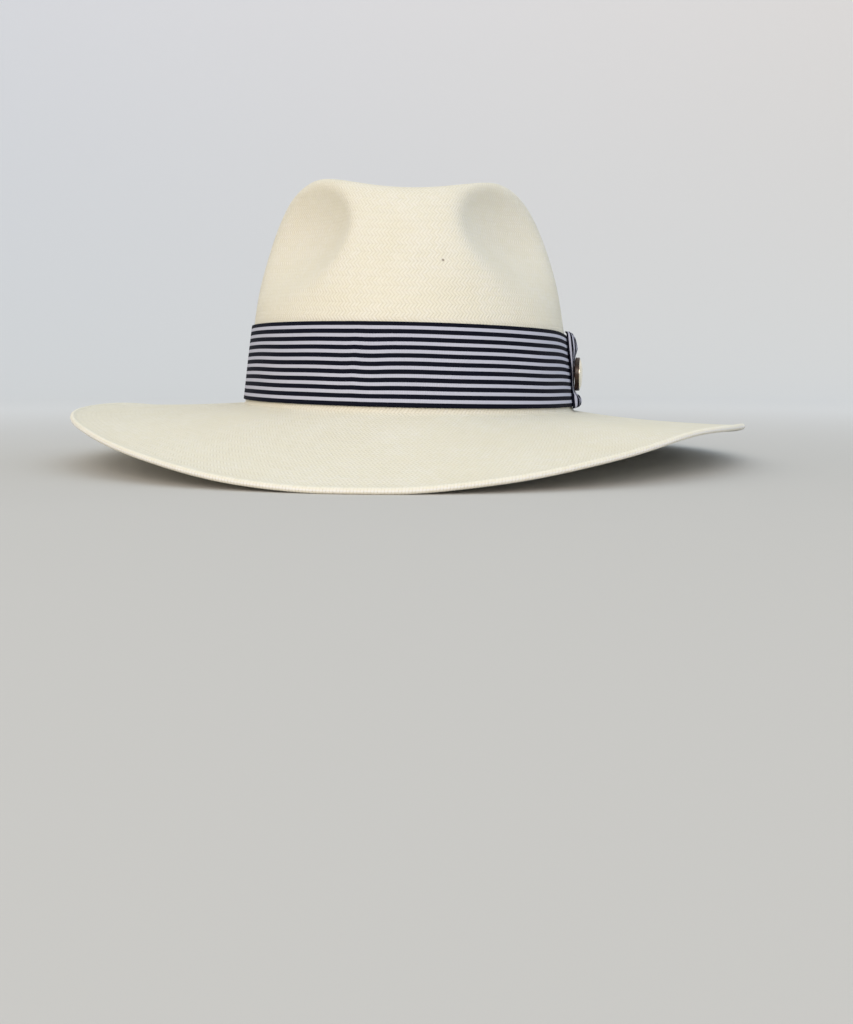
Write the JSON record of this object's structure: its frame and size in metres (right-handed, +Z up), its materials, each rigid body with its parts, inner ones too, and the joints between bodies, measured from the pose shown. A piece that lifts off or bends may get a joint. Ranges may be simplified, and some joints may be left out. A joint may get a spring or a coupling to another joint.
{
  "type": "straw fedora hat",
  "caption": "Wide-brimmed woven straw fedora with a creased and pinched crown, a striped ribbon band and a ribbon keeper held by a round button.",
  "frame": {"origin": "middle of the brim's outline, on the floor that the rim rests on", "axes": "-Y to the front of the hat, +X to the wearer's left, +Z up through the crown"},
  "size_m": [0.3238, 0.35, 0.134],
  "materials": {
    "straw": "woven",
    "ribbon": "ribbed, striped",
    "keeper_ribbon": "ribbed, striped",
    "brown_horn": "gloss",
    "pale_brass": "polished"
  },
  "bodies": {
    "root": {"straw_body": "straw", "ribbon_band": "ribbon", "ribbon_keeper": "keeper_ribbon", "button_body": "brown_horn", "button_face": "pale_brass"}
  },
  "joints": []
}
